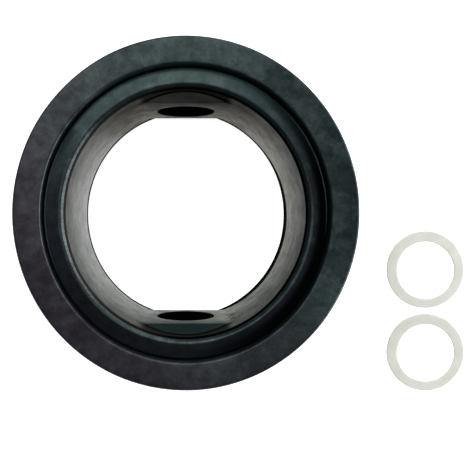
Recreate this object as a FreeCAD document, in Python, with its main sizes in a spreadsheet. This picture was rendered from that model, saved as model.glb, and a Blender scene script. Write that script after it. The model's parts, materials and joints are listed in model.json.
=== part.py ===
import FreeCAD, Part
import os

import Sketcher
from FreeCAD import Vector

# Seat kit for a three-inch sanitary butterfly valve: a one-piece rubber seat ring and two flat stem
# washers.
#
# The frame has +Z along the pipe. The origin is on the bore's axis, at the seat's back face. The stem
# axis lies along Y, half way up the seat. The washers lie beside the seat, on the plane of its back
# face. Lengths are in millimetres.

# Driving dimensions: sheet name, value, meaning.
DIMENSIONS = (
    ("half_width", 22.1, "half of the seat's width along the pipe"),
    ("outer_radius", 52.2, "outside of the seat, which the valve body's halves enclose"),
    ("rim_inner_radius", 43.75, "edge between a rim's flat face and the face groove"),
    ("groove_depth", 4.8, "narrow face groove, from the rim's face to its floor"),
    ("groove_wall_foot", 43.6, "groove's outer wall where it meets the floor"),
    ("lip_foot", 43.05, "groove's inner wall where it meets the floor"),
    ("lip_edge_radius", 42.9, "outer edge of the lip, at the top of the groove's inner wall"),
    ("lip_edge_drop", 2.05, "outer edge of the lip below the rim's face"),
    ("lip_crest_radius", 38.05, "top of the lip"),
    ("lip_drop", 0.4, "top of the lip below the rim's face"),
    ("shoulder_radius", 37.1, "lip's inner slope, where it turns steeper towards the bore"),
    ("shoulder_drop", 1.25, "that turn below the rim's face"),
    ("mouth_drop", 2.3, "bore's mouth, where the lip starts, below the rim's face"),
    ("bore_radius", 36.5, "bore, from mouth to mouth"),
    ("flat_distance", 34.0, "bore's axis to each stem boss's flat"),
    ("boss_root", 37.2, "bore's axis to the root of each boss, inside the wall"),
    ("flat_half_length", 12.8, "half of a flat's length along the pipe"),
    ("boss_half_length", 18.5, "half of a boss's length at its root"),
    ("boss_width", 30.0, "boss across the stem, buried in the wall at both ends"),
    ("stem_hole_radius", 9.35, "each stem hole"),
    ("recess_floor", 49.8, "bore's axis to the floor of each washer recess"),
    ("recess_radius", 14.6, "washer recess in the outside of the seat"),
    ("hole_overrun", 2.0, "cut past the rubber at both ends of a stem hole"),
    ("rim_round", 1.0, "outer edge of each rim"),
    ("rim_edge_round", 0.3, "inner edge of each rim's face"),
    ("groove_round", 0.2, "corners of the groove's floor"),
    ("lip_edge_round", 0.3, "outer edge of the lip"),
    ("lip_round", 0.6, "top of the lip"),
    ("washer_radius", 14.3, "outside of a stem washer"),
    ("washer_bore", 10.55, "hole in a stem washer"),
    ("washer_thickness", 0.8, "stem washer"),
    ("washer_round", 0.15, "edges of a stem washer"),
    ("washer_offset_x", 88.7, "both washers, to the side of the bore's axis"),
    ("upper_washer_y", -20.4, "upper stem washer along the stem axis"),
    ("lower_washer_y", -51.0, "lower stem washer along the stem axis"),
)

STEM_WASHERS = (
    ("upper_stem_washer", "upper_washer_y"),
    ("lower_stem_washer", "lower_washer_y"),
)

SIGNS = {"+": 1.0, "-": -1.0}

# Two lengths closer than this are the same.
SAME = 0.01


def fill_sheet(document):
    """Write the driving dimensions to the document's sheet, one named cell each."""
    sheet = document.addObject("Spreadsheet::Sheet", "dimensions")
    for row, (name, value, meaning) in enumerate(DIMENSIONS, start=1):
        sheet.set(f"A{row}", meaning)
        sheet.set(f"B{row}", str(value))
        sheet.setAlias(f"B{row}", name)
    document.recompute()
    return sheet


def formula(words):
    """A sum of sheet names, such as 'half_width - lip_drop', as an expression."""
    terms = [word if word in SIGNS else f"dimensions.{word}" for word in words.split()]
    return " ".join(terms)


def number(sheet, words):
    """The value of a sum of sheet names, or of the plain word 'zero'."""
    total = 0.0
    sign = 1.0
    for word in words.split():
        if word in SIGNS:
            sign = SIGNS[word]
        elif word != "zero":
            total += sign * float(sheet.get(word))
    return total


def origin_feature(body, role):
    """One of the body's own origin planes or axes."""
    return next(item for item in body.Origin.OriginFeatures if item.Role == role)


def new_sketch(body, name, plane):
    """An empty sketch on one of the body's origin planes."""
    sketch = body.newObject("Sketcher::SketchObject", name)
    sketch.AttachmentSupport = [(origin_feature(body, plane), "")]
    sketch.MapMode = "FlatFace"
    return sketch


def bind_corner(sketch, edge, words, constraint):
    """Hold the start of an edge at a distance from the sketch's origin, or on its axis."""
    axis = -2 if constraint == "DistanceX" else -1
    if words == "zero":
        sketch.addConstraint(Sketcher.Constraint("PointOnObject", edge, 1, axis))
        return
    sheet = sketch.Document.getObject("dimensions")
    here = number(sheet, words)
    # A distance is always positive, so the two points are given in rising order.
    pair = (-1, 1, edge, 1) if here > 0 else (edge, 1, -1, 1)
    index = sketch.addConstraint(Sketcher.Constraint(constraint, *pair, abs(here)))
    text = formula(words) if here > 0 else f"-({formula(words)})"
    sketch.setExpression(f"Constraints[{index}]", text)


def draw_outline(sketch, corners):
    """Closed outline through corners given as sums of sheet names."""
    sheet = sketch.Document.getObject("dimensions")
    points = [Vector(number(sheet, across), number(sheet, up), 0) for across, up in corners]
    for edge, start in enumerate(points):
        end = points[(edge + 1) % len(points)]
        sketch.addGeometry(Part.LineSegment(start, end))
    for edge in range(len(points)):
        following = (edge + 1) % len(points)
        sketch.addConstraint(Sketcher.Constraint("Coincident", edge, 2, following, 1))
    for edge, (across, up) in enumerate(corners):
        bind_corner(sketch, edge, across, "DistanceX")
        bind_corner(sketch, edge, up, "DistanceY")


def revolve(body, kind, name, sketch, axis):
    """Turn a sketch a full circle about one of its own axes, to add or to cut."""
    feature = body.newObject(kind, name)
    feature.Profile = sketch
    feature.ReferenceAxis = (sketch, [axis])
    feature.Angle = 360.0
    return feature


def mirror(body, name, feature, plane):
    """Repeat a feature on the other side of one of the body's origin planes."""
    mirrored = body.newObject("PartDesign::Mirrored", name)
    mirrored.Originals = [feature]
    mirrored.MirrorPlane = (origin_feature(body, plane), [""])
    body.Tip = mirrored
    body.Document.recompute()
    return mirrored


def circle_edges(shape):
    """Name and curve of each circular edge of a shape."""
    edges = enumerate(shape.Edges, start=1)
    return [(f"Edge{index}", edge.Curve) for index, edge in edges if isinstance(edge.Curve, Part.Circle)]


def is_ring(curve, radius, height):
    """Whether a circle lies flat at +height or -height and has this radius."""
    flat = abs(abs(curve.Axis.z) - 1.0) < SAME
    return flat and abs(curve.Radius - radius) < SAME and abs(abs(curve.Center.z) - height) < SAME


def round_rings(body, name, radius_words, height_words, size):
    """Round the seat's circular edges of one radius and height, on both faces."""
    sheet = body.Document.getObject("dimensions")
    base = body.Tip
    radius = number(sheet, radius_words)
    height = number(sheet, height_words)
    names = [name for name, curve in circle_edges(base.Shape) if is_ring(curve, radius, height)]
    if not names:
        raise RuntimeError(f"{name}: no edge of radius {radius} at height {height}")
    fillet = body.newObject("PartDesign::Fillet", name)
    fillet.Base = (base, names)
    fillet.setExpression("Radius", formula(size))
    body.Tip = fillet
    body.Document.recompute()


def add_valve_seat(document):
    """Rubber seat ring, built about its own middle and then set on its back face."""
    body = document.addObject("PartDesign::Body", "valve_seat")
    body.Label = "valve_seat"

    # Half of the wall's section, from the middle plane up to the front face.
    section = new_sketch(body, "wall_section", "XZ_Plane")
    corners = (
        ("bore_radius", "zero"),
        ("outer_radius", "zero"),
        ("outer_radius", "half_width"),
        ("rim_inner_radius", "half_width"),
        ("groove_wall_foot", "half_width - groove_depth"),
        ("lip_foot", "half_width - groove_depth"),
        ("lip_edge_radius", "half_width - lip_edge_drop"),
        ("lip_crest_radius", "half_width - lip_drop"),
        ("shoulder_radius", "half_width - shoulder_drop"),
        ("bore_radius", "half_width - mouth_drop"),
    )
    draw_outline(section, corners)
    front_half = revolve(body, "PartDesign::Revolution", "front_half", section, "V_Axis")
    document.recompute()
    mirror(body, "back_half", front_half, "XY_Plane")

    round_rings(body, "rim_rounds", "outer_radius", "half_width", "rim_round")
    round_rings(body, "rim_edge_rounds", "rim_inner_radius", "half_width", "rim_edge_round")
    round_rings(body, "groove_wall_rounds", "groove_wall_foot", "half_width - groove_depth", "groove_round")
    round_rings(body, "lip_foot_rounds", "lip_foot", "half_width - groove_depth", "groove_round")
    round_rings(body, "lip_edge_rounds", "lip_edge_radius", "half_width - lip_edge_drop", "lip_edge_round")
    round_rings(body, "lip_rounds", "lip_crest_radius", "half_width - lip_drop", "lip_round")

    # Stem boss: a flat with a ramp at each end, grown out of the bore's wall.
    boss_section = new_sketch(body, "boss_section", "YZ_Plane")
    boss_corners = (
        ("flat_distance", "- flat_half_length"),
        ("boss_root", "- boss_half_length"),
        ("boss_root", "boss_half_length"),
        ("flat_distance", "flat_half_length"),
    )
    draw_outline(boss_section, boss_corners)
    upper_boss = body.newObject("PartDesign::Pad", "upper_boss")
    upper_boss.Profile = boss_section
    upper_boss.SideType = "Symmetric"
    upper_boss.setExpression("Length", formula("boss_width"))
    document.recompute()
    mirror(body, "lower_boss", upper_boss, "XZ_Plane")

    # Stem hole through each boss, opening into a flat-floored recess for the washer.
    solid_volume = body.Shape.Volume
    stem_section = new_sketch(body, "stem_section", "YZ_Plane")
    stem_corners = (
        ("flat_distance - hole_overrun", "zero"),
        ("outer_radius + hole_overrun", "zero"),
        ("outer_radius + hole_overrun", "recess_radius"),
        ("recess_floor", "recess_radius"),
        ("recess_floor", "stem_hole_radius"),
        ("flat_distance - hole_overrun", "stem_hole_radius"),
    )
    draw_outline(stem_section, stem_corners)
    upper_passage = revolve(body, "PartDesign::Groove", "upper_stem_passage", stem_section, "H_Axis")
    document.recompute()
    one_side_volume = upper_passage.Shape.Volume
    lower_passage = mirror(body, "lower_stem_passage", upper_passage, "XZ_Plane")
    if not solid_volume > one_side_volume > lower_passage.Shape.Volume:
        raise RuntimeError("a stem passage cut nothing")

    body.setExpression("Placement.Base.z", formula("half_width"))
    return body


def add_stem_washer(document, name, offset_y):
    """Flat washer with softened edges, lying beside the seat."""
    body = document.addObject("PartDesign::Body", name)
    body.Label = name
    section = new_sketch(body, f"{name}_section", "XZ_Plane")
    corners = (
        ("washer_bore", "zero"),
        ("washer_radius", "zero"),
        ("washer_radius", "washer_thickness"),
        ("washer_bore", "washer_thickness"),
    )
    draw_outline(section, corners)
    ring = revolve(body, "PartDesign::Revolution", f"{name}_ring", section, "V_Axis")
    document.recompute()
    edges = body.newObject("PartDesign::Fillet", f"{name}_edges")
    edges.Base = (ring, [name for name, curve in circle_edges(ring.Shape)])
    edges.setExpression("Radius", formula("washer_round"))
    body.Tip = edges
    body.setExpression("Placement.Base.x", formula("washer_offset_x"))
    body.setExpression("Placement.Base.y", formula(offset_y))
    return body


def check_document(document, bodies):
    """Stop if a feature failed or a sub-part is not one closed, valid solid."""
    for item in document.Objects:
        if "Invalid" in item.State or "Error" in item.State:
            raise RuntimeError(f"{item.Label}: {item.State}")
    for body in bodies:
        shape = body.Shape
        if shape.isNull() or not shape.isValid() or len(shape.Solids) != 1:
            raise RuntimeError(f"{body.Label}: not one valid solid")


def main():
    document = FreeCAD.newDocument("valve_seat_kit")
    fill_sheet(document)
    bodies = [add_valve_seat(document)]
    for name, offset_y in STEM_WASHERS:
        bodies.append(add_stem_washer(document, name, offset_y))
    document.recompute()
    check_document(document, bodies)

    os.makedirs("parts", exist_ok=True)
    for body in bodies:
        body.Shape.exportStep(f"parts/{body.Label}.step")
        print(f"{body.Label}: {body.Shape.Volume:.1f} mm3")


main()
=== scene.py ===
import json
import math

import bmesh
import bpy
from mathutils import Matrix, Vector, noise


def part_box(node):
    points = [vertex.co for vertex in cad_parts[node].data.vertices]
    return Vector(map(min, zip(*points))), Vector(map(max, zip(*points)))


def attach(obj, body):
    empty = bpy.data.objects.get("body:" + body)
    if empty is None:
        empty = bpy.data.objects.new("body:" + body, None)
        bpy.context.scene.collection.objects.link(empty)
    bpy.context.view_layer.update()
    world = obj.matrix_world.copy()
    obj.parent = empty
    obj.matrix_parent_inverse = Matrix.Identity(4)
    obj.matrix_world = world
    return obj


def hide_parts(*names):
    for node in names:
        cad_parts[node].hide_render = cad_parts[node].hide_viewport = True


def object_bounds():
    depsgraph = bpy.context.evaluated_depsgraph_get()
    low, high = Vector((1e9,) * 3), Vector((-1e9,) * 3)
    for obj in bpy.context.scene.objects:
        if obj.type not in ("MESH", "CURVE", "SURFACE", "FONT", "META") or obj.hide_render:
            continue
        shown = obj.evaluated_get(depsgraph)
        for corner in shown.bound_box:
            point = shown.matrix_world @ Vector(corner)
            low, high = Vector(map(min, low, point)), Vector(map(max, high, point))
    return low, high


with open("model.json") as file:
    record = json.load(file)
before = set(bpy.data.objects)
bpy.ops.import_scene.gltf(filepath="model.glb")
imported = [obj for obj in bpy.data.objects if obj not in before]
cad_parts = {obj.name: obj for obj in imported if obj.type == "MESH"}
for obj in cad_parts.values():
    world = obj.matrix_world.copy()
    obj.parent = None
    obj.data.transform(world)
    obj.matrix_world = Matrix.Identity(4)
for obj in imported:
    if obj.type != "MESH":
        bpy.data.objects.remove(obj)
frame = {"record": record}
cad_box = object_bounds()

# A butterfly valve's rubber seat ring and its two loose stem washers, lying on a pale surface. The ring
# stands on its back face with its bore upright and its stem holes along Y. Lengths are in metres.

MM = 0.001
mounts = {mount["name"]: mount for mount in frame["record"]["mounts"]}


# ---------------------------------------------------------------------------------------------------
# Sizes
# ---------------------------------------------------------------------------------------------------

seat_low, seat_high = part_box("valve_seat")
stem_mount = mounts["upper_stem_hole"]

OUTER_RADIUS = (seat_high.x - seat_low.x) / 2
HALF_WIDTH = (seat_high.z - seat_low.z) / 2
MIDDLE_HEIGHT = (seat_high.z + seat_low.z) / 2
BORE_RADIUS = mounts["flow_bore"]["dims"]["r_mm"] * MM
MOUTH_HEIGHT = mounts["flow_bore"]["dims"]["length_mm"] * MM / 2
STEM_RADIUS = stem_mount["dims"]["r_mm"] * MM
RECESS_FLOOR = stem_mount["pos_m"][1]
FLAT_DISTANCE = RECESS_FLOOR - stem_mount["dims"]["length_mm"] * MM

# A soft ring that nothing holds lies a little out of round: shorter across the stems' axis than along it.
SLACK = 0.57 * MM

# Stem bosses: a flat with a ramp at each end.
FLAT_HALF_LENGTH = 12.8 * MM
RAMP_RUN = 1.78
RAMP_START_SOFTNESS = 0.15 * MM
SIDE_SOFTNESS = 0.35 * MM
RAMP_SOFTNESS = 0.08 * MM

# Outside recess for a washer.
RECESS_RADIUS = 14.6 * MM
RECESS_LIP = 0.35 * MM
RECESS_FILLET = 0.3 * MM
HOLE_EDGE = 0.25 * MM
EDGE_STEPS = 3

# Section of a face, from the bore's mouth out to the side: radius, drop below the rim, rounding, arc steps.
FACE_CORNERS = (
    (36.98, 1.32, 0.25, 4),
    (38.05, 0.36, 0.95, 7),
    (42.90, 2.05, 0.30, 4),
    (43.05, 4.80, 0.20, 3),
    (43.60, 4.80, 0.20, 3),
    (43.70, 0.00, 0.80, 6),
    (OUTER_RADIUS / MM, 0.00, 1.00, 6),
)
MOUTH_ROUNDING = 0.30
MOUTH_ARC_STEPS = 4

# Grid: columns go round the ring and rows go round its section.
FINE_STEP = math.radians(0.4)
COARSE_STEP = math.radians(1.6)
FINE_REACH = math.radians(26.0)
WINDOW_REACH = math.radians(19.2)
INNER_WINDOW_HALF = 11.9 * MM
OUTER_WINDOW_HALF = 17.0 * MM
WINDOW_ROWS = 30
CREASE_GUARD = 0.12 * MM

# Moulding: the outside's parting line, and gentle unevenness, which the seed makes the same in every run.
PARTING_HEIGHT = 0.07 * MM
PARTING_HALF_WIDTH = 0.14 * MM
WAVE_HEIGHT = 0.05 * MM
WAVES_PER_METRE = 55.0
WAVE_SEED = 7


# ---------------------------------------------------------------------------------------------------
# Small geometry helpers
# ---------------------------------------------------------------------------------------------------

def smooth_min(a, b, softness):
    """The lesser of two numbers, blended over about the softness where they are close."""
    return (a + b - math.hypot(a - b, softness)) / 2


def smooth_max(a, b, softness):
    """The greater of two numbers, blended the same way."""
    return (a + b + math.hypot(a - b, softness)) / 2


def smooth_step(low, high, value):
    """0 at low, 1 at high, smooth between them and held beyond them."""
    share = min(max((value - low) / (high - low), 0.0), 1.0)
    return share * share * (3 - 2 * share)


def lerp(a, b, share):
    return a + (b - a) * share


def spaced(start, end, count):
    """count + 1 evenly spaced numbers from start to end."""
    return [lerp(start, end, index / count) for index in range(count + 1)]


def rounded_corner(before, corner, after, radius, steps):
    """Points along the arc that rounds one corner of a path in a plane."""
    back = (before - corner).normalized()
    ahead = (after - corner).normalized()
    half_angle = back.angle(ahead) / 2
    middle = (back + ahead).normalized()
    centre = corner + middle * (radius / math.sin(half_angle))
    start = corner + back * (radius / math.tan(half_angle)) - centre
    end = corner + ahead * (radius / math.tan(half_angle)) - centre
    turn = start.angle_signed(end)
    return [centre + turned(start, turn * step / steps) for step in range(steps + 1)]


def turned(vector, angle):
    """A 2-D vector turned clockwise by an angle, as angle_signed measures it."""
    cosine, sine = math.cos(angle), math.sin(angle)
    return Vector((vector.x * cosine + vector.y * sine, vector.y * cosine - vector.x * sine))


def subdivided(points, longest):
    """The path with each run split so that no part is longer than this."""
    path = [points[0]]
    for start, end in zip(points, points[1:]):
        parts = max(1, math.ceil((end - start).length / longest))
        path += [start.lerp(end, part / parts) for part in range(1, parts + 1)]
    return path


# ---------------------------------------------------------------------------------------------------
# Valve seat
# ---------------------------------------------------------------------------------------------------

def slack(angle):
    """How far the loose ring's wall stands out from round, at an angle from +X."""
    return -SLACK * math.cos(2 * angle)


def boss_distance(height):
    """Distance from the bore's axis to a boss's surface, at a height from the ring's middle."""
    past_flat = smooth_max(abs(height) - FLAT_HALF_LENGTH, 0.0, RAMP_START_SOFTNESS)
    return FLAT_DISTANCE + past_flat / RAMP_RUN


def inner_radius(angle, height):
    """The bore's wall with the two bosses grown out of it."""
    bore = BORE_RADIUS + slack(angle)
    across = max(abs(math.sin(angle)), 0.5)
    on_ramp = smooth_step(FLAT_HALF_LENGTH, FLAT_HALF_LENGTH + 1.5 * MM, abs(height))
    softness = lerp(SIDE_SOFTNESS, RAMP_SOFTNESS, on_ramp)
    return smooth_min(bore, boss_distance(height) / across, softness)


def outer_radius(angle, height):
    """The ring's outside, with the thin line where the mould's halves met."""
    line = math.exp(-((height / PARTING_HALF_WIDTH) ** 2))
    return OUTER_RADIUS + slack(angle) + PARTING_HEIGHT * line


def point_at(angle, radius, height):
    return Vector((radius * math.cos(angle), radius * math.sin(angle), height))


def crease_height(angle):
    """Height from the ring's middle where a boss's ramp runs out into the bore."""
    wall = (BORE_RADIUS + slack(angle)) * abs(math.sin(angle))
    crease = FLAT_HALF_LENGTH + RAMP_RUN * (wall - FLAT_DISTANCE)
    return smooth_max(crease, FLAT_HALF_LENGTH + 1.6 * MM, 0.5 * MM)


def column_angles():
    """Angles round the ring, close together over each boss."""
    angles = []
    for boss in (math.pi / 2, 3 * math.pi / 2):
        fine_count = round(2 * FINE_REACH / FINE_STEP)
        angles += spaced(boss - FINE_REACH, boss + FINE_REACH, fine_count)[:-1]
        coarse_reach = math.pi - 2 * FINE_REACH
        coarse_count = round(coarse_reach / COARSE_STEP)
        start = boss + FINE_REACH
        angles += spaced(start, start + coarse_reach, coarse_count)[:-1]
    return angles


def upper_bore_heights(angle, top):
    """Heights up the bore's wall above the window, following the ramp's crease."""
    crease = crease_height(angle)
    edge = FLAT_HALF_LENGTH
    heights = [edge - 0.45 * MM, edge - 0.15 * MM, edge, edge + 0.15 * MM, edge + 0.45 * MM]
    heights += spaced(heights[-1], crease - CREASE_GUARD, 7)[1:]
    heights += [crease, crease + CREASE_GUARD]
    heights += spaced(heights[-1], top, 6)[1:-1]
    return heights


def face_section():
    """Front face's section from the bore's mouth to the side: points of radius and height."""
    corners = [Vector((BORE_RADIUS, 0.0)), Vector((BORE_RADIUS, MOUTH_HEIGHT))]
    roundings = [(0, 0), (MOUTH_ROUNDING, MOUTH_ARC_STEPS)]
    for radius, drop, rounding, steps in FACE_CORNERS:
        corners.append(Vector((radius * MM, HALF_WIDTH - drop * MM)))
        roundings.append((rounding, steps))
    corners.append(Vector((OUTER_RADIUS, 0.0)))
    points = []
    for index in range(1, len(corners) - 1):
        rounding, steps = roundings[index]
        around = corners[index - 1:index + 2]
        points += rounded_corner(*around, rounding * MM, steps)
    return subdivided(points, 1.3 * MM)


def outer_window_heights():
    """Heights up the outside between the window's edges, close together at the parting line."""
    fine = [PARTING_HALF_WIDTH * share for share in (0.0, 0.5, 1.0, 1.6, 2.4)]
    above = fine + spaced(fine[-1], OUTER_WINDOW_HALF, WINDOW_ROWS // 2 - len(fine) + 1)[1:]
    return [-height for height in reversed(above[1:])] + above


def seat_rows(angle):
    """One column's points round the whole section: up the bore, over the front, down the outside, back."""
    face = face_section()
    mouth = face[0].y
    side = face[-1].y
    upper = upper_bore_heights(angle, mouth)
    window = spaced(-INNER_WINDOW_HALF, INNER_WINDOW_HALF, WINDOW_ROWS)
    bore = [-height for height in reversed(upper)] + window + upper
    shift = slack(angle)
    front = [point_at(angle, point.x + shift, point.y) for point in face]
    back = [point_at(angle, point.x + shift, -point.y) for point in reversed(face)]
    below_window = spaced(-side, -OUTER_WINDOW_HALF, 3)[1:-1]
    above_window = spaced(OUTER_WINDOW_HALF, side, 3)[1:-1]
    outside = below_window + outer_window_heights() + above_window
    rows = [point_at(angle, inner_radius(angle, height), height) for height in bore]
    rows += front
    rows += [point_at(angle, outer_radius(angle, height), height) for height in reversed(outside)]
    rows += back
    return rows


class Grid:
    """Vertices of the ring by row and column, and the faces made so far."""

    def __init__(self):
        self.angles = column_angles()
        self.columns = [seat_rows(angle) for angle in self.angles]
        self.row_count = len(self.columns[0])
        self.points = [point for column in self.columns for point in column]
        self.faces = []
        self.inner_start = len(upper_bore_heights(0.0, MOUTH_HEIGHT))
        bore_count = 2 * self.inner_start + WINDOW_ROWS + 1
        self.outer_start = bore_count + len(face_section()) + 2

    def index(self, column, row):
        return (column % len(self.angles)) * self.row_count + row % self.row_count

    def add(self, point):
        self.points.append(point)
        return len(self.points) - 1

    def bridge(self, ring_a, ring_b):
        """Quads between two closed rings of the same length."""
        count = len(ring_a)
        for place in range(count):
            after = (place + 1) % count
            self.faces.append((ring_a[place], ring_a[after], ring_b[after], ring_b[place]))


def window_columns(grid, side):
    """First and last column of the window at the boss on the +Y side (side 1) or -Y side (side -1)."""
    boss = math.pi / 2 if side > 0 else 3 * math.pi / 2
    inside = [n for n, angle in enumerate(grid.angles) if abs(angle - boss) < WINDOW_REACH]
    return inside[0], inside[-1]


def window_loop(first, last):
    """The window's edge as (column, step up), once round."""
    loop = [(column, 0) for column in range(first, last)]
    loop += [(last, step) for step in range(WINDOW_ROWS)]
    loop += [(column, WINDOW_ROWS) for column in range(last, first, -1)]
    loop += [(first, step) for step in range(WINDOW_ROWS, 0, -1)]
    return loop


def quarter_turns(first):
    """Sines and cosines of the steps of a quarter turn, from this step to the last."""
    turns = [math.pi / 2 * step / EDGE_STEPS for step in range(first, EDGE_STEPS + 1)]
    return [(math.sin(turn), math.cos(turn)) for turn in turns]


def passage_profile():
    """Radius round the stem's axis and distance from the bore's axis, from a flat to the recess's wall."""
    profile = []
    for sine, cosine in quarter_turns(1):
        profile.append((STEM_RADIUS + HOLE_EDGE * (1 - sine), FLAT_DISTANCE + HOLE_EDGE * (1 - cosine)))
    for distance in spaced(FLAT_DISTANCE + HOLE_EDGE, RECESS_FLOOR - HOLE_EDGE, 6)[1:]:
        profile.append((STEM_RADIUS, distance))
    for sine, cosine in quarter_turns(1):
        profile.append((STEM_RADIUS + HOLE_EDGE * (1 - cosine), RECESS_FLOOR - HOLE_EDGE * (1 - sine)))
    floor_end = RECESS_RADIUS - RECESS_FILLET
    for radius in spaced(STEM_RADIUS + HOLE_EDGE, floor_end, 4)[1:]:
        profile.append((radius, RECESS_FLOOR))
    for sine, cosine in quarter_turns(1):
        profile.append((floor_end + RECESS_FILLET * sine, RECESS_FLOOR + RECESS_FILLET * (1 - cosine)))
    return profile


class StemPassage:
    """A boss's stem hole and washer recess, which join the window in the bore to the window outside."""

    def __init__(self, grid, side):
        self.grid = grid
        self.side = side
        loop = window_loop(*window_columns(grid, side))
        inner = [grid.index(column, grid.inner_start + step) for column, step in loop]
        outer = [grid.index(column, grid.outer_start + WINDOW_ROWS - step) for column, step in loop]
        self.bearings = [math.atan2(grid.points[v].z, grid.points[v].x) for v in inner]
        inner_rings = self.on_surface(inner, inner_radius, STEM_RADIUS + HOLE_EDGE, 6)
        outer_rings = self.on_surface(outer, outer_radius, RECESS_RADIUS + RECESS_LIP, 5)
        rings = inner_rings + [self.circle(radius, distance) for radius, distance in passage_profile()]
        rings += self.recess_lip(outer_rings[-1])
        rings += reversed(outer_rings)
        for ring_a, ring_b in zip(rings, rings[1:]):
            grid.bridge(ring_a, ring_b)

    def spot(self, radius, bearing, distance):
        """New vertex at a radius and bearing round the stem's axis, and a distance from the bore's axis."""
        across, height = radius * math.cos(bearing), radius * math.sin(bearing)
        return self.grid.add(Vector((across, self.side * distance, height)))

    def circle(self, radius, distance):
        return [self.spot(radius, bearing, distance) for bearing in self.bearings]

    def on_surface(self, edge, surface, radius, steps):
        """Rings from a window's edge in to a circle, all on one surface; the circle comes last."""
        rings = [edge]
        for step in range(1, steps + 1):
            ring = []
            for vertex, bearing in zip(edge, self.bearings):
                start = self.grid.points[vertex]
                across = lerp(start.x, radius * math.cos(bearing), step / steps)
                height = lerp(start.z, radius * math.sin(bearing), step / steps)
                ring.append(self.grid.add(surface_point(across, height, surface, self.side)))
            rings.append(ring)
        return rings

    def recess_lip(self, edge):
        """Rings of the rounded lip that ends the recess's wall and follows the outside's curve."""
        tops = [abs(self.grid.points[vertex].y) for vertex in edge]
        rings = []
        for sine, cosine in quarter_turns(0)[:-1]:
            radius = RECESS_RADIUS + RECESS_LIP * (1 - cosine)
            drop = RECESS_LIP * (1 - sine)
            rings.append([self.spot(radius, b, top - drop) for b, top in zip(self.bearings, tops)])
        return rings


def surface_point(across, height, surface, side):
    """Point on the bore's wall or the outside that has this X and height, near one boss."""
    radius = FLAT_DISTANCE
    for _ in range(12):
        angle = side * math.acos(max(-1.0, min(1.0, across / radius)))
        radius = surface(angle, height)
    return point_at(angle, radius, height)


def ring_faces(grid):
    """Quads of the whole ring apart from the four windows."""
    holes = set()
    for side in (1, -1):
        first, last = window_columns(grid, side)
        for start in (grid.inner_start, grid.outer_start):
            for column in range(first, last):
                holes.update((column, start + step) for step in range(WINDOW_ROWS))
    for column in range(len(grid.angles)):
        for row in range(grid.row_count):
            if (column, row) not in holes:
                grid.faces.append((
                    grid.index(column, row),
                    grid.index(column + 1, row),
                    grid.index(column + 1, row + 1),
                    grid.index(column, row + 1),
                ))


def mesh_object(name, points, faces):
    """A smooth-shaded object from points and faces, with unused points dropped."""
    mesh = bpy.data.meshes.new(name)
    mesh.from_pydata([tuple(point) for point in points], [], faces)
    tidy = bmesh.new()
    tidy.from_mesh(mesh)
    loose = [vertex for vertex in tidy.verts if not vertex.link_faces]
    bmesh.ops.delete(tidy, geom=loose, context="VERTS")
    bmesh.ops.recalc_face_normals(tidy, faces=tidy.faces)
    tidy.to_mesh(mesh)
    tidy.free()
    mesh.shade_smooth()
    made = bpy.data.objects.new(name, mesh)
    bpy.context.scene.collection.objects.link(made)
    weighted = made.modifiers.new("even_shading", "WEIGHTED_NORMAL")
    weighted.weight = 60
    return made


def uneven(point):
    """The point moved a little, as soft moulded rubber is never quite true."""
    return point + WAVE_HEIGHT * noise.noise_vector(point * WAVES_PER_METRE)


def make_valve_seat():
    grid = Grid()
    ring_faces(grid)
    StemPassage(grid, 1)
    StemPassage(grid, -1)
    rise = Vector((0, 0, MIDDLE_HEIGHT))
    noise.seed_set(WAVE_SEED)
    points = [uneven(point) + rise for point in grid.points]
    return mesh_object("rubber_seat", points, grid.faces)


# ---------------------------------------------------------------------------------------------------
# Stem washers
# ---------------------------------------------------------------------------------------------------

WASHER_EDGE = 0.20 * MM
WASHER_COLUMNS = 240
HOLE_OFF_CENTRE = Vector((0.22, -0.25, 0.0)) * MM


def washer_section(hole, outside, thickness):
    """Closed section of a washer with softened edges: points of radius and height."""
    corners = [
        Vector((hole, 0)),
        Vector((outside, 0)),
        Vector((outside, thickness)),
        Vector((hole, thickness)),
    ]
    section = []
    for index, corner in enumerate(corners):
        around = (corners[index - 1], corner, corners[(index + 1) % 4])
        section += rounded_corner(*around, WASHER_EDGE, 4)
    return subdivided(section + section[:1], 0.5 * MM)[:-1]


def make_washer(name, node, seed):
    """Thin ring, stamped a little off centre, that is neither quite round nor quite flat."""
    low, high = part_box(node)
    centre = (low + high) / 2
    outside = (high.x - low.x) / 2
    hole = mounts[node.replace("stem_washer", "washer_bore")]["dims"]["r_mm"] * MM
    section = washer_section(hole, outside, high.z - low.z)
    offset = Vector((seed * 3.7, seed * 1.9, 0.0))
    points = []
    for column in range(WASHER_COLUMNS):
        angle = 2 * math.pi * column / WASHER_COLUMNS
        around = Vector((math.cos(angle), math.sin(angle), 0.0))
        ragged = 0.05 * MM * noise.noise(around * 9.0 - offset)
        lift = 0.03 * MM * (1 + noise.noise(around * 1.2 + offset * 2))
        for spot in section:
            wander = 0.08 * MM * noise.noise(around * 1.6 + offset + Vector((0, 0, spot.x / (4 * MM))))
            inward = smooth_step(outside, hole, spot.x)
            place = around * (spot.x + wander + ragged) + HOLE_OFF_CENTRE * inward
            points.append(Vector((centre.x, centre.y, low.z + spot.y + lift)) + place)
    return mesh_object(name, points, ring_of_quads(WASHER_COLUMNS, len(section)))


def ring_of_quads(columns, rows):
    """Faces joining columns of rows into a closed ring, with every column itself closed."""
    faces = []
    for column in range(columns):
        following = (column + 1) % columns
        for row in range(rows):
            after = (row + 1) % rows
            faces.append((
                column * rows + row,
                following * rows + row,
                following * rows + after,
                column * rows + after,
            ))
    return faces


# ---------------------------------------------------------------------------------------------------
# Materials
# ---------------------------------------------------------------------------------------------------

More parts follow.
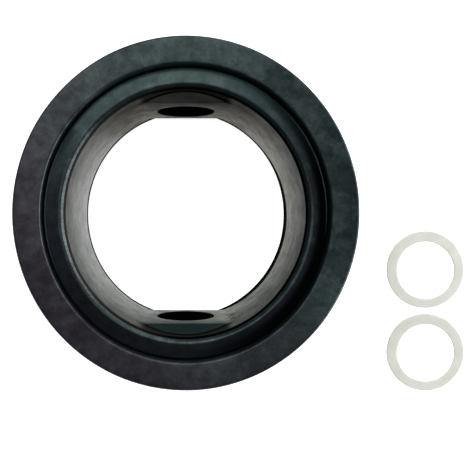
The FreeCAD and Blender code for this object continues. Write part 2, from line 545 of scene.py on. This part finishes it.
class Nodes:
    """Short names for building one material's nodes."""

    def __init__(self, name):
        self.material = bpy.data.materials.new(name)
        self.material.use_nodes = True
        self.tree = self.material.node_tree
        self.shader = self.tree.nodes["Principled BSDF"]
        self.place = self.tree.nodes.new("ShaderNodeTexCoord").outputs["Object"]

    def node(self, kind, **settings):
        made = self.tree.nodes.new(kind)
        for key, value in settings.items():
            setattr(made, key, value)
        return made

    def link(self, output, socket):
        self.tree.links.new(output, socket)

    def set(self, name, output):
        """Feed one of the shader's own sockets."""
        self.link(output, self.shader.inputs[name])

    def fill(self, sockets, values):
        """Give each socket its value: a number, a colour or another node's output."""
        for socket, value in zip(sockets, values):
            if isinstance(value, (int, float)):
                socket.default_value = value
            elif isinstance(value, tuple):
                socket.default_value = (*value, 1.0)
            else:
                self.link(value, socket)

    def noise(self, scale, detail=4.0, roughness=0.55, place=None):
        made = self.node("ShaderNodeTexNoise")
        made.inputs["Scale"].default_value = scale
        made.inputs["Detail"].default_value = detail
        made.inputs["Roughness"].default_value = roughness
        self.link(place or self.place, made.inputs["Vector"])
        return made.outputs["Fac"]

    def ramp(self, source, stops):
        """Colour or grey ramp from (position, colour) stops."""
        made = self.node("ShaderNodeValToRGB")
        elements = made.color_ramp.elements
        while len(elements) < len(stops):
            elements.new(0.5)
        for element, (position, colour) in zip(elements, stops):
            element.position = position
            element.color = (*colour, 1.0) if isinstance(colour, tuple) else (colour, colour, colour, 1.0)
        self.link(source, made.inputs["Fac"])
        return made.outputs["Color"]

    def maths(self, operation, a, b):
        made = self.node("ShaderNodeMath", operation=operation)
        self.fill(made.inputs[:2], (a, b))
        return made.outputs["Value"]

    def spread(self, source, low, high, start, end):
        """The source's span from low to high, spread over start to end and held beyond them."""
        made = self.node("ShaderNodeMapRange")
        self.link(source, made.inputs["Value"])
        for name, value in (("From Min", low), ("From Max", high), ("To Min", start), ("To Max", end)):
            made.inputs[name].default_value = value
        return made.outputs["Result"]

    def mask(self, source, low, high):
        """0 to 1 as the source goes from low to high."""
        return self.spread(source, low, high, 0.0, 1.0)

    def fade(self, mask, end):
        """1 where the mask is 0, going to this number where it is 1."""
        return self.spread(mask, 0.0, 1.0, 1.0, end)

    def product(self, first, *others):
        """Numbers multiplied together."""
        for other in others:
            first = self.maths("MULTIPLY", first, other)
        return first

    def greatest(self, first, *others):
        for other in others:
            first = self.maths("MAXIMUM", first, other)
        return first

    def distance(self, source, value):
        """How far the source is from this value, either way."""
        return self.maths("ABSOLUTE", self.maths("SUBTRACT", source, value), 0.0)

    def length(self, a, b):
        """Length of the vector with these two parts."""
        squares = self.maths("ADD", self.maths("MULTIPLY", a, a), self.maths("MULTIPLY", b, b))
        return self.maths("SQRT", squares, 0.0)

    def blend(self, share, a, b):
        """A number that goes from a to b as the share goes from 0 to 1."""
        made = self.node("ShaderNodeMix", data_type="FLOAT")
        self.fill((made.inputs[0], made.inputs[2], made.inputs[3]), (share, a, b))
        return made.outputs[0]

    def mix(self, share, a, b):
        """A colour that goes from a to b as the share goes from 0 to 1."""
        made = self.node("ShaderNodeMix", data_type="RGBA")
        self.fill((made.inputs[0], made.inputs[6], made.inputs[7]), (share, a, b))
        return made.outputs[2]

    def bump(self, height, distance, strength=1.0, normal=None):
        made = self.node("ShaderNodeBump")
        made.inputs["Distance"].default_value = distance
        made.inputs["Strength"].default_value = strength
        self.link(height, made.inputs["Height"])
        if normal is not None:
            self.link(normal, made.inputs["Normal"])
        return made.outputs["Normal"]


# Rubber colours: the rim, with its dust and a painted purplish tint towards the lower left; the lip,
# painted lighter towards +Y where light falls on it; the bore's wall on its two sides and at its mouth; the
# bosses' ramps, each painted with the light it faces; and the small marks: real trim marks and nicks,
# painted highlights on edges, and black for painted shade.
COOL_RIM = (0.0050, 0.0070, 0.0075)
PURPLISH_RIM = (0.0080, 0.0055, 0.0085)
RIM_DUST = (0.014, 0.022, 0.023)
LIP_AWAY_FROM_LIGHT = (0.0042, 0.0046, 0.0066)
LIP_FACING_LIGHT = (0.010, 0.018, 0.019)
GREY_WALL = (0.032, 0.026, 0.012)
BROWN_WALL = (0.066, 0.045, 0.015)
MOUTH_WALL = (0.023, 0.022, 0.017)
LOWER_RAMP_LIGHT_TINT = (0.0045, 0.0125, 0.0128)
UPPER_RAMP_LIGHT_TINT = (0.017, 0.014, 0.011)
FLAT_EDGE_HIGHLIGHT = (0.085, 0.088, 0.085)
TRIM_MARK = (0.15, 0.15, 0.085)
PALE_LIP_LINE = (0.060, 0.072, 0.085)
BLACK = (0.001, 0.001, 0.001)

# Tints of the rubber's reflections.
COOL_TINT = (0.88, 1.0, 1.0)
PURPLISH_TINT = (1.0, 0.74, 0.86)
BORE_GREY_TINT = (0.97, 1.0, 0.90)
BORE_BROWN_TINT = (1.0, 0.95, 0.80)

# Share of a full reflection that is kept: on the bore's wall, painted reflection strength from its dim side
# to its bright side; on the ramps, painted reflection strength; on the duller patches; and in the black
# places, which are painted shade and nicks.
DIM_WALL_REFLECTION = 0.56
BRIGHT_WALL_REFLECTION = 0.93
RAMP_SHEEN = 0.80
BLOTCH_SHEEN = 0.76
BLACK_SHEEN = 0.18

BORE_FRONT_ROUGHNESS = 0.42
BORE_BACK_ROUGHNESS = 0.13
CHAMFER_ROUGHNESS = 0.27

# Places on the ring. Radii are those of a round ring.
CREST_RADIUS = 38.25 * MM
LIP_RADII = (38.0 * MM, 43.5 * MM)
LIP_MIDDLE_RADIUS = 40.2 * MM
LIP_EDGE_RADIUS = 42.78 * MM
RIM_RADIUS = 43.8 * MM
BOSS_HALF_WIDTH = 12.6 * MM
LOWER_BOSS = -31.0 * MM
NICK_ACROSS = 15.0 * MM
TRIM_ACROSS = 12.4 * MM
TRIM_HEIGHT = MIDDLE_HEIGHT + 6.0 * MM


class Rubber(Nodes):
    """Moulded black rubber: satin outside, polished down the bore, with faint dust and marks, and with
    painted shade, painted highlights and painted reflection strength.
    """

    def __init__(self):
        super().__init__("moulded_rubber")
        split = self.node("ShaderNodeSeparateXYZ")
        self.link(self.place, split.inputs["Vector"])
        self.x, self.y, self.height = split.outputs
        self.across = self.maths("ABSOLUTE", self.x, 0.0)
        self.level = self.distance(self.height, MIDDLE_HEIGHT)
        self.radius = self.round_radius()
        self.clouds = self.noise(38.0, detail=6.0, roughness=0.6)
        self.smears = self.noise(210.0, detail=5.0, roughness=0.65)
        self.speckle = self.noise(650.0, detail=3.0, roughness=0.7)
        self.mottle = self.maths(
            "ADD",
            self.maths("MULTIPLY", self.clouds, 0.5),
            self.maths("MULTIPLY", self.smears, 0.5),
        )
        self.mark_areas()
        # Black for painted shade in the ramps' creases, round the bore's mouth, inside the stem holes, at
        # the bore's back edge and on the lip towards +X, and for the real nicks.
        self.black = self.greatest(
            self.boss_crease_shade(),
            self.mouth_crease_shade(),
            self.mask(self.length(self.x, self.level), STEM_RADIUS + 0.25 * MM, STEM_RADIUS + 0.05 * MM),
            self.back_edge_shadow(),
            self.lip_shade(),
            self.nicks(),
        )

    def round_radius(self):
        """Distance from the bore's axis, as if the ring were round."""
        x_square = self.maths("MULTIPLY", self.x, self.x)
        y_square = self.maths("MULTIPLY", self.y, self.y)
        square = self.maths("ADD", x_square, y_square)
        lean = self.maths("DIVIDE", self.maths("SUBTRACT", x_square, y_square), square)
        return self.maths("ADD", self.maths("SQRT", square, 0.0), self.maths("MULTIPLY", lean, SLACK))

    def towards(self, bearing, start, end):
        """0 to 1 across the ring as the cosine from this bearing (degrees) goes from start to end."""
        turn = math.radians(bearing)
        along_x = self.maths("MULTIPLY", self.x, math.cos(turn) / BORE_RADIUS)
        along_y = self.maths("MULTIPLY", self.y, math.sin(turn) / BORE_RADIUS)
        return self.mask(self.maths("ADD", along_x, along_y), start, end)

    def mark_areas(self):
        """Masks of the bore, the outer side, the sloping lip, the bosses and their ramps."""
        self.in_bore = self.mask(self.radius, BORE_RADIUS + 0.5 * MM, BORE_RADIUS + 0.2 * MM)
        self.on_side = self.mask(self.level, HALF_WIDTH - 0.8 * MM, HALF_WIDTH - 2.4 * MM)
        self.on_lip = self.product(
            self.mask(self.radius, LIP_RADII[0], LIP_RADII[0] + 0.6 * MM),
            self.mask(self.radius, LIP_RADII[1], LIP_RADII[1] - 0.2 * MM),
        )
        self.over_boss = self.mask(self.across, BOSS_HALF_WIDTH + 1.6 * MM, BOSS_HALF_WIDTH)
        self.off_wall = self.mask(self.radius, BORE_RADIUS - 0.24 * MM, BORE_RADIUS - 0.46 * MM)
        past_flat = self.mask(self.level, FLAT_HALF_LENGTH, FLAT_HALF_LENGTH + 0.4 * MM)
        self.on_ramp = self.product(self.over_boss, past_flat, self.off_wall)

    def boss_crease_shade(self):
        """Painted shade: dark line where a ramp runs into the bore, and the strip of bore beyond it."""
        return self.product(
            self.over_boss,
            self.mask(self.level, FLAT_HALF_LENGTH + 0.5 * MM, FLAT_HALF_LENGTH + 1.2 * MM),
            self.maths("SUBTRACT", 1.0, self.off_wall),
            self.mask(self.radius, BORE_RADIUS + 0.70 * MM, BORE_RADIUS + 0.50 * MM),
            self.spread(self.radius, BORE_RADIUS - 0.10 * MM, BORE_RADIUS - 0.01 * MM, 1.0, 0.48),
        )

    def mouth_crease_shade(self):
        """Painted shade: dark line round the bore's mouth, fainter towards -X."""
        return self.product(
            self.mask(self.level, MOUTH_HEIGHT - 0.10 * MM, MOUTH_HEIGHT + 0.05 * MM),
            self.mask(self.radius, BORE_RADIUS + 0.62 * MM, BORE_RADIUS + 0.48 * MM),
            self.fade(self.towards(180, 0.1, 0.8), 0.35),
        )

    def back_edge_shadow(self):
        """Painted shadow: dark edge of the bore at the back, higher on one side."""
        rise = self.product(self.towards(338, 0.45, 0.95), 4.6 * MM)
        return self.product(
            self.mask(self.maths("SUBTRACT", self.height, rise), 5.2 * MM, 4.6 * MM),
            self.mask(self.radius, BORE_RADIUS + 0.6 * MM, BORE_RADIUS + 0.4 * MM),
        )

    def lip_shade(self):
        """Painted shade: black band on the lip's outer half, towards +X."""
        start, end = LIP_MIDDLE_RADIUS - 0.8 * MM, LIP_MIDDLE_RADIUS + 1.0 * MM
        return self.product(
            self.on_lip,
            self.towards(345, 0.35, 1.0),
            self.spread(self.radius, start, end, 0.25, 0.95),
        )

    def on_lower_boss(self):
        return self.product(self.mask(self.y, LOWER_BOSS + 1.0 * MM, LOWER_BOSS), self.in_bore)

    def nicks(self):
        """Few dark nicks at one end of the lower flat."""
        return self.product(
            self.on_lower_boss(),
            self.mask(self.distance(self.x, NICK_ACROSS), 1.5 * MM, 0.7 * MM),
            self.mask(self.level, 9.5 * MM, 8.0 * MM),
            self.mask(self.height, MIDDLE_HEIGHT - 2.0 * MM, MIDDLE_HEIGHT),
            self.spread(self.speckle, 0.50, 0.56, 0.0, 0.85),
        )

    def trim(self):
        """Yellowish speckled mark where the flash was trimmed."""
        from_trim = self.length(
            self.maths("SUBTRACT", self.x, TRIM_ACROSS),
            self.maths("SUBTRACT", self.height, TRIM_HEIGHT),
        )
        return self.product(
            self.on_lower_boss(),
            self.mask(from_trim, 5.0 * MM, 1.5 * MM),
            self.spread(self.speckle, 0.40, 0.60, 0.15, 1.0),
        )

    def flat_edge_highlight(self):
        """Painted highlight: light line along each end of a boss's flat."""
        return self.product(
            self.over_boss,
            self.mask(self.distance(self.level, FLAT_HALF_LENGTH + 0.12 * MM), 0.34 * MM, 0.16 * MM),
            self.mask(self.radius, BORE_RADIUS - 0.1 * MM, BORE_RADIUS - 0.3 * MM),
        )

    def crest_highlight_and_edge_line(self):
        """Pale lines on the lip: a painted highlight along its crest on one side, and a lighter line along
        its outer edge on two.
        """
        crest = self.product(
            self.spread(self.distance(self.radius, CREST_RADIUS), 0.42 * MM, 0.10 * MM, 0.0, 0.45),
            self.mask(self.level, HALF_WIDTH - 1.2 * MM, HALF_WIDTH - 0.9 * MM),
            self.towards(345, 0.90, 1.03),
            self.spread(self.speckle, 0.35, 0.60, 0.5, 1.0),
        )
        edge = self.product(
            self.spread(self.distance(self.radius, LIP_EDGE_RADIUS), 0.34 * MM, 0.18 * MM, 0.0, 0.8),
            self.mask(self.level, HALF_WIDTH - 3.2 * MM, HALF_WIDTH - 2.7 * MM),
            self.greatest(self.towards(176, 1.0, 1.12), self.towards(18, 1.02, 1.14)),
            self.spread(self.speckle, 0.35, 0.60, 0.6, 1.0),
        )
        return self.greatest(edge, crest)

    def blotch(self):
        """Duller patches on the rim towards +X, and on the lip's outer half towards the upper left."""
        patches = self.product(
            self.mask(self.noise(75.0, detail=7.0, roughness=0.68), 0.50, 0.60),
            self.mask(self.level, HALF_WIDTH - 8.0 * MM, HALF_WIDTH - 5.0 * MM),
        )
        outer_half = self.mask(self.radius, LIP_MIDDLE_RADIUS, LIP_MIDDLE_RADIUS + 1.0 * MM)
        return self.greatest(
            self.product(patches, self.towards(15, 0.2, 1.1)),
            self.product(patches, self.towards(135, 1.0, 1.1), outer_half, self.on_lip),
        )

    def colour(self):
        """Black with a bluish-green bloom of dust, a painted purplish tint on the rim's lower left, painted
        light on the lip towards +Y and on the ramps, and brownish on one side of the bore.

        The layers are put on in order, each over the ones before it.
        """
        dust = self.product(
            self.ramp(self.clouds, ((0.38, 0.0), (0.68, 1.0))),
            self.ramp(self.smears, ((0.35, 0.2), (0.7, 1.0))),
            self.fade(self.on_side, 0.45),
        )
        # Painted tint: the rim turns purplish towards the lower left.
        rim = self.mix(dust, self.mix(self.towards(225, -0.2, 1.2), COOL_RIM, PURPLISH_RIM), RIM_DUST)
        # Painted light: the lip is lighter towards +Y, where light falls on it.
        lip = self.mix(self.towards(95, 0.2, 1.0), LIP_AWAY_FROM_LIGHT, LIP_FACING_LIGHT)
        deep_wall = self.mix(self.towards(62, -0.4, 0.9), GREY_WALL, BROWN_WALL)
        wall = self.mix(self.mask(self.height, 18.0 * MM, 35.0 * MM), deep_wall, MOUTH_WALL)
        # Painted light: each ramp is coloured as the light it faces, teal on the lower boss and brown on
        # the upper.
        boss_ramp = self.mix(self.mask(self.y, -1.0 * MM, 1.0 * MM), LOWER_RAMP_LIGHT_TINT, UPPER_RAMP_LIGHT_TINT)
        colour = self.mix(self.on_lip, rim, lip)
        for share, layer in (
            (self.in_bore, wall),
            (self.on_ramp, boss_ramp),
            (self.flat_edge_highlight(), FLAT_EDGE_HIGHLIGHT),
            (self.trim(), TRIM_MARK),
            (self.black, BLACK),
            (self.crest_highlight_and_edge_line(), PALE_LIP_LINE),
        ):
            colour = self.mix(share, colour, layer)
        return colour

    def face_sheen(self):
        """Sheen of the rims, the lips and the outer side."""
        flecks = self.noise(430.0, detail=5.0, roughness=0.75)
        front = self.product(
            self.spread(self.mottle, 0.36, 0.62, 0.80, 1.02),
            self.spread(flecks, 0.38, 0.62, 0.93, 1.05),
        )
        side = self.spread(self.mottle, 0.36, 0.62, 0.87, 0.95)
        return self.product(self.blend(self.on_side, front, side), self.fade(self.blotch(), BLOTCH_SHEEN))

    def wall_sheen(self):
        """Painted reflection strength of the bore's wall: bright towards -X, duller by the bosses, low down
        and at its mouth.
        """
        low_down = self.product(self.towards(252, 0.2, 0.9), self.mask(self.height, 24.0 * MM, 6.0 * MM))
        near_mouth = self.product(self.towards(205, 0.2, 0.8), self.mask(self.height, 30.0 * MM, 40.0 * MM))
        return self.product(
            self.spread(self.towards(192, 0.42, 0.88), 0.0, 1.0, DIM_WALL_REFLECTION, BRIGHT_WALL_REFLECTION),
            self.fade(low_down, 0.86),
            self.spread(self.height, 36.0 * MM, 6.0 * MM, 0.84, 1.02),
            self.fade(near_mouth, 0.84),
            self.fade(self.towards(270, -0.1, 0.8), 0.88),
            self.fade(self.towards(93, 0.68, 0.86), 0.72),
            self.fade(self.towards(322, 0.82, 0.97), 0.87),
            self.fade(self.towards(222, 0.80, 0.97), 0.90),
            self.spread(self.smears, 0.38, 0.62, 0.80, 1.08),
            self.spread(self.clouds, 0.35, 0.65, 1.03, 0.96),
        )

    def ramp_sheen(self):
        """Painted reflection strength of the bosses' ramps: duller in the middle, and on the lower boss."""
        return self.product(
            self.spread(self.smears, 0.38, 0.62, 0.85 * RAMP_SHEEN, 1.05 * RAMP_SHEEN),
            self.spread(self.across, 2.0 * MM, 12.0 * MM, 0.90, 1.04),
            self.spread(self.y, -1.0 * MM, 1.0 * MM, 0.86, 1.0),
        )

    def specular_level(self):
        """The sheen, 0 to 1, as the shader's specular level."""
        bore = self.blend(self.on_ramp, self.wall_sheen(), self.ramp_sheen())
        everywhere = self.blend(self.in_bore, self.face_sheen(), bore)
        sheen = self.product(everywhere, self.fade(self.black, BLACK_SHEEN))
        return self.maths("MULTIPLY", self.maths("POWER", sheen, 4.0), 0.5)

    def tint(self):
        """Tint of the reflections: a painted purplish cast on the rim's lower left, warmer on the bore's
        upper right.
        """
        on_rim = self.mask(self.radius, RIM_RADIUS, RIM_RADIUS + 0.6 * MM)
        face = self.mix(self.product(on_rim, self.towards(215, -0.5, 1.1)), COOL_TINT, PURPLISH_TINT)
        wall = self.mix(self.towards(60, 0.2, 1.0), BORE_GREY_TINT, BORE_BROWN_TINT)
        return self.mix(self.in_bore, face, wall)

    def roughness(self):
        satin = self.spread(self.mottle, 0.3, 0.7, 0.30, 0.42)
        on_chamfer = self.mask(self.radius, CREST_RADIUS + 0.05 * MM, CREST_RADIUS - 0.35 * MM)
        polish = self.spread(self.height, 2 * HALF_WIDTH, 0.0, BORE_FRONT_ROUGHNESS, BORE_BACK_ROUGHNESS)
        return self.blend(self.in_bore, self.blend(on_chamfer, satin, CHAMFER_ROUGHNESS), polish)


def rubber_material():
    rubber = Rubber()
    rubber.set("Base Color", rubber.colour())
    rubber.set("Specular IOR Level", rubber.specular_level())
    rubber.set("Specular Tint", rubber.tint())
    rubber.set("Roughness", rubber.roughness())
    fine = rubber.bump(rubber.noise(2600.0, detail=2.0), 0.003 * MM)
    rubber.set("Normal", rubber.bump(rubber.smears, 0.010 * MM, normal=fine))
    return rubber.material


def washer_material():
    """Milky translucent plastic with faint cloudiness."""
    nodes = Nodes("milky_plastic")
    clouds = nodes.noise(160.0, detail=3.0)
    colour = nodes.ramp(clouds, ((0.35, (0.625, 0.576, 0.527)), (0.65, (0.669, 0.619, 0.578))))
    nodes.set("Base Color", colour)
    nodes.set("Roughness", nodes.ramp(nodes.noise(420.0), ((0.3, 0.38), (0.7, 0.5))))
    nodes.shader.inputs["Subsurface Weight"].default_value = 0.35
    nodes.shader.inputs["Subsurface Radius"].default_value = (1.0, 1.0, 0.85)
    nodes.shader.inputs["Subsurface Scale"].default_value = 1.2 * MM
    nodes.set("Normal", nodes.bump(clouds, 0.03 * MM))
    return nodes.material


FLOOR_RADIUS = 6.0
FLOOR_DROP = 0.1 * MM
FLOOR_GLOW = 0.92


def floor_material():
    """Plain pale surface."""
    nodes = Nodes("pale_surface")
    tone = nodes.ramp(nodes.noise(3.0, detail=2.0), ((0.3, 0.87), (0.7, 0.89)))
    nodes.set("Base Color", tone)
    nodes.shader.inputs["Roughness"].default_value = 0.7
    nodes.shader.inputs["Emission Color"].default_value = (1.0, 1.0, 1.0, 1.0)
    nodes.shader.inputs["Emission Strength"].default_value = FLOOR_GLOW
    return nodes.material


# ---------------------------------------------------------------------------------------------------
# Scene
# ---------------------------------------------------------------------------------------------------

def add_floor():
    """Large round surface, just under what stands on it."""
    mesh = bpy.data.meshes.new("floor")
    shape = bmesh.new()
    bmesh.ops.create_circle(shape, cap_ends=True, segments=96, radius=FLOOR_RADIUS)
    shape.to_mesh(mesh)
    shape.free()
    floor = bpy.data.objects.new("floor", mesh)
    floor.location.z = cad_box[0].z - FLOOR_DROP
    bpy.context.scene.collection.objects.link(floor)
    floor.data.materials.append(floor_material())


def set_surroundings(colour, strength):
    """Even light from all round."""
    world = bpy.data.worlds.new("studio")
    world.use_nodes = True
    background = world.node_tree.nodes["Background"]
    background.inputs["Color"].default_value = (*colour, 1.0)
    background.inputs["Strength"].default_value = strength
    bpy.context.scene.world = world


def add_panel(name, azimuth, elevation, width, height, radiance, colour, distance=1.2):
    """Soft rectangular panel: its direction, width and height, in degrees, as seen from the ring."""
    across, up = math.radians(azimuth), math.radians(elevation)
    direction = Vector((math.cos(across) * math.cos(up), math.sin(across) * math.cos(up), math.sin(up)))
    size = [2 * distance * math.tan(math.radians(angle) / 2) for angle in (width, height)]
    data = bpy.data.lights.new(name, "AREA")
    data.shape = "RECTANGLE"
    data.size, data.size_y = size
    data.energy = radiance * math.pi * size[0] * size[1]
    data.color = colour
    panel = bpy.data.objects.new(name, data)
    panel.location = direction * distance
    panel.rotation_euler = direction.to_track_quat("Z", "Y").to_euler()
    bpy.context.scene.collection.objects.link(panel)


def light_scene():
    set_surroundings((0.80, 0.85, 0.92), 0.03)
    add_panel("raking_panel", 0, 14.5, 74, 15, 15.0, (0.96, 1.0, 1.04))
    add_panel("side_panel", 62, 25, 36, 18, 3.0, (0.88, 1.0, 1.0))
    add_panel("window_panel", 110, 56, 60, 48, 3.1, (0.84, 1.0, 0.97))
    add_panel("overhead_panel", 335, 74, 24, 24, 1.6, (0.80, 1.0, 1.0))
    add_panel("fill_panel", 225, 62, 60, 40, 0.20, (1.0, 0.78, 0.96))
    add_panel("left_panel", 180, 36, 44, 20, 0.24, (0.66, 0.62, 1.0))


# Camera straight above the ring's bore, a little towards -Y, framed by shift.
CAMERA_PLACE = (0.16 * MM, -2.13 * MM, 215.6 * MM)
CAMERA_LENS = 44.05
CAMERA_SHIFT = (0.107, -0.0355)


def add_camera():
    data = bpy.data.cameras.new("camera")
    data.sensor_width = 36.0
    data.lens = CAMERA_LENS
    data.shift_x, data.shift_y = CAMERA_SHIFT
    data.clip_start = 0.01
    camera = bpy.data.objects.new("camera", data)
    camera.location = CAMERA_PLACE
    bpy.context.scene.collection.objects.link(camera)
    bpy.context.scene.camera = camera


seat = make_valve_seat()
seat.data.materials.append(rubber_material())
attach(seat, "seat")
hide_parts("valve_seat")

plastic = washer_material()
for seed, (name, body, node) in enumerate((
    ("upper_washer_ring", "upper_washer", "upper_stem_washer"),
    ("lower_washer_ring", "lower_washer", "lower_stem_washer"),
)):
    washer = make_washer(name, node, seed)
    washer.data.materials.append(plastic)
    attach(washer, body)
    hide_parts(node)

add_floor()
add_camera()
light_scene()
bpy.context.scene.view_settings.view_transform = "Standard"
